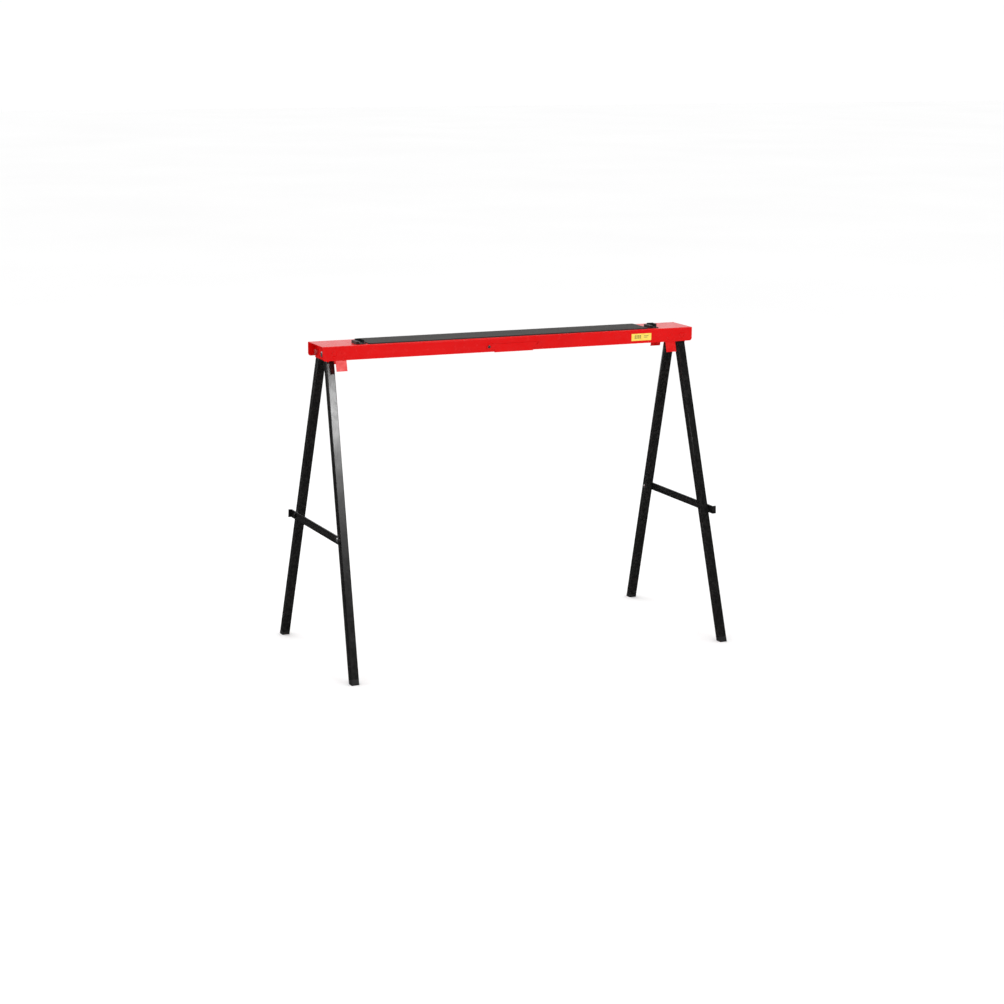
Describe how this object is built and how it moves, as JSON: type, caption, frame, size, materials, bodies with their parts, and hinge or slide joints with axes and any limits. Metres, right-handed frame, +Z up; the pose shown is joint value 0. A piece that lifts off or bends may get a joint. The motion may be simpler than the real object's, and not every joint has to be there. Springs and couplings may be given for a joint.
{
  "type": "folding sawhorse",
  "caption": "Steel sawhorse: a channel beam with an anti-slip mat on hinged pairs of splayed square-tube legs, each held by a hooked brace, folding flat into the beam.",
  "frame": {"origin": "on the floor, under the centre of the beam", "axes": "+X along the beam, +Y across it towards the back, +Z up"},
  "size_m": [1.034, 0.5242, 0.8],
  "materials": {
    "red_paint": "gloss powder coat",
    "black_paint": "semi-gloss powder coat",
    "mat_rubber": "fine ribbed, matt",
    "black_plastic": "moulded, fine texture",
    "zinc": "bright zinc plate",
    "label_yellow": "plain printed vinyl sticker with no text"
  },
  "bodies": {
    "beam": {"beam": "red_paint", "anti_slip_mat": "mat_rubber", "left_mat_clip": "black_plastic", "right_mat_clip": "black_plastic", "clip_screws": "zinc", "carry_grip": "red_paint", "grip_rivet": "zinc", "label": "label_yellow", "hinge_rivets": "red_paint", "left_front_guide_tab": "red_paint", "left_back_guide_tab": "red_paint", "right_front_guide_tab": "red_paint", "right_back_guide_tab": "red_paint"},
    "left_bracket": {"left_bracket": "red_paint", "left_leg_bolts": "zinc", "left_leg_nuts": "zinc"},
    "left_front_leg": {"left_front_leg": "black_paint", "left_front_foot": "black_plastic", "left_brace_rivet": "zinc"},
    "left_back_leg": {"left_back_leg": "black_paint", "left_back_foot": "black_plastic", "left_hook_stud": "black_paint"},
    "left_brace": {"left_brace": "black_paint"},
    "right_bracket": {"right_bracket": "red_paint", "right_leg_bolts": "zinc", "right_leg_nuts": "zinc"},
    "right_back_leg": {"right_back_leg": "black_paint", "right_back_foot": "black_plastic", "right_brace_rivet": "zinc"},
    "right_front_leg": {"right_front_leg": "black_paint", "right_front_foot": "black_plastic", "right_hook_stud": "black_paint"},
    "right_brace": {"right_brace": "black_paint"}
  },
  "joints": [
    {"name": "left_fold", "type": "hinge", "parent": "beam", "child": "left_bracket", "pos_m": [-0.478, 0, 0.771], "axis": [0, -1, 0], "range_deg": [0, 92.15]},
    {"name": "left_front_leg_spread", "type": "hinge", "parent": "left_bracket", "child": "left_front_leg", "pos_m": [-0.47819, -0.0115, 0.766], "axis": [0.9993, 0, -0.0375], "range_deg": [0, 17.39]},
    {"name": "left_back_leg_spread", "type": "hinge", "parent": "left_bracket", "child": "left_back_leg", "pos_m": [-0.47819, 0.0343, 0.766], "axis": [-0.9993, 0, 0.0375], "range_deg": [0, 15.82]},
    {"name": "left_brace_swing", "type": "hinge", "parent": "left_front_leg", "child": "left_brace", "pos_m": [-0.49447, -0.14738, 0.33231], "axis": [0.9993, 0, -0.0375], "range_deg": [0, 72.61]},
    {"name": "right_fold", "type": "hinge", "parent": "beam", "child": "right_bracket", "pos_m": [0.478, 0, 0.771], "axis": [0, 1, 0], "range_deg": [0, 92.15]},
    {"name": "right_back_leg_spread", "type": "hinge", "parent": "right_bracket", "child": "right_back_leg", "pos_m": [0.47819, 0.0115, 0.766], "axis": [-0.9993, 0, -0.0375], "range_deg": [0, 17.39]},
    {"name": "right_front_leg_spread", "type": "hinge", "parent": "right_bracket", "child": "right_front_leg", "pos_m": [0.47819, -0.0343, 0.766], "axis": [0.9993, 0, 0.0375], "range_deg": [0, 15.82]},
    {"name": "right_brace_swing", "type": "hinge", "parent": "right_back_leg", "child": "right_brace", "pos_m": [0.49447, 0.14738, 0.33231], "axis": [-0.9993, 0, -0.0375], "range_deg": [0, 72.61]}
  ],
  "couplings": [
    {"joint": "left_front_leg_spread", "follows": "left_fold", "ratio": 0.18866},
    {"joint": "left_back_leg_spread", "follows": "left_fold", "ratio": 0.17168},
    {"joint": "left_brace_swing", "follows": "left_fold", "ratio": 0.78801},
    {"joint": "right_back_leg_spread", "follows": "right_fold", "ratio": 0.18866},
    {"joint": "right_front_leg_spread", "follows": "right_fold", "ratio": 0.17168},
    {"joint": "right_brace_swing", "follows": "right_fold", "ratio": 0.78801}
  ]
}
